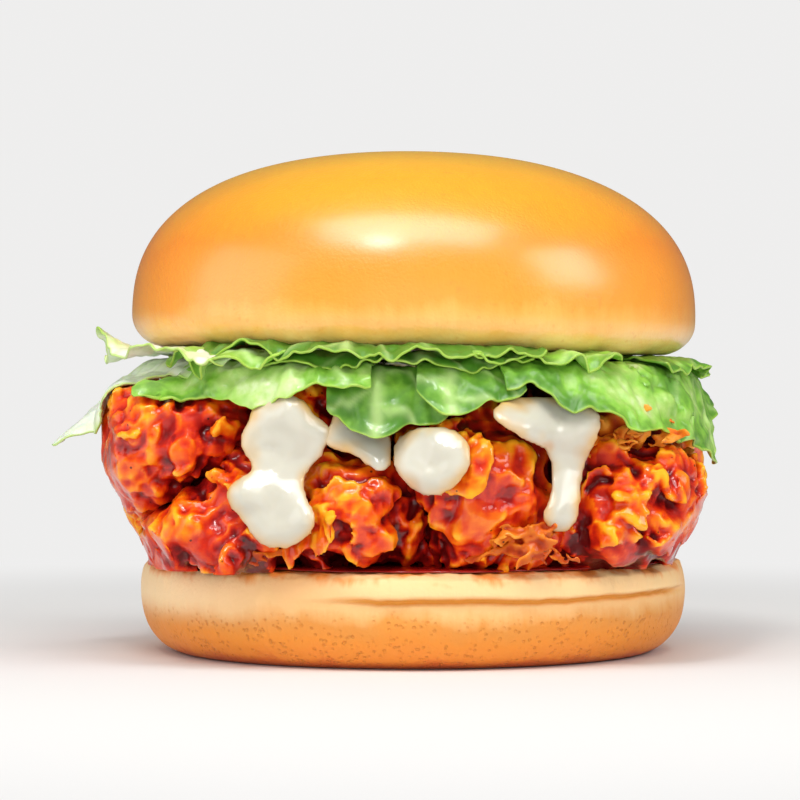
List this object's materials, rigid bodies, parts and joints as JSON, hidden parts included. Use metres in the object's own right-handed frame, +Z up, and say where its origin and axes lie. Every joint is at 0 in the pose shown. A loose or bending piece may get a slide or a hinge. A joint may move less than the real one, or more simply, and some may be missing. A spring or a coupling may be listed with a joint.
{
  "type": "chicken burger",
  "caption": "Glazed bun filled with sauced fried chicken pieces, ruffled lettuce and runs of mayonnaise.",
  "frame": {"origin": "centre of the heel's flat base", "axes": "+Z up from the base through the crown, -Y towards the side where the filling hangs out, +X to that side's right"},
  "size_m": [0.1262, 0.1123, 0.0942],
  "materials": {
    "crown_crust": "glazed, golden",
    "heel_crust": "baked, cream above and golden below",
    "sauced_crust": "craggy fried crust, wet with red sauce",
    "lettuce": "fresh, slightly waxy",
    "mayonnaise": "wet, creamy"
  },
  "bodies": {
    "root": {"bun_crown": "crown_crust", "bun_heel": "heel_crust", "chicken_front_left_upper": "sauced_crust", "chicken_front_left_lower": "sauced_crust", "chicken_front_middle_upper": "sauced_crust", "chicken_front_middle_lower": "sauced_crust", "chicken_front_centre": "sauced_crust", "chicken_top_centre": "sauced_crust", "chicken_front_right_lower": "sauced_crust", "chicken_front_right_upper": "sauced_crust", "chicken_right_middle": "sauced_crust", "chicken_back_right": "sauced_crust", "chicken_back_middle": "sauced_crust", "chicken_back_left": "sauced_crust", "chicken_left_middle": "sauced_crust", "lettuce_left": "lettuce", "lettuce_front_left": "lettuce", "lettuce_centre": "lettuce", "lettuce_right": "lettuce", "lettuce_back_right": "lettuce", "lettuce_back_left": "lettuce", "lettuce_frill": "lettuce", "mayo_left": "mayonnaise", "mayo_middle": "mayonnaise", "mayo_centre": "mayonnaise", "mayo_right": "mayonnaise"}
  },
  "joints": []
}
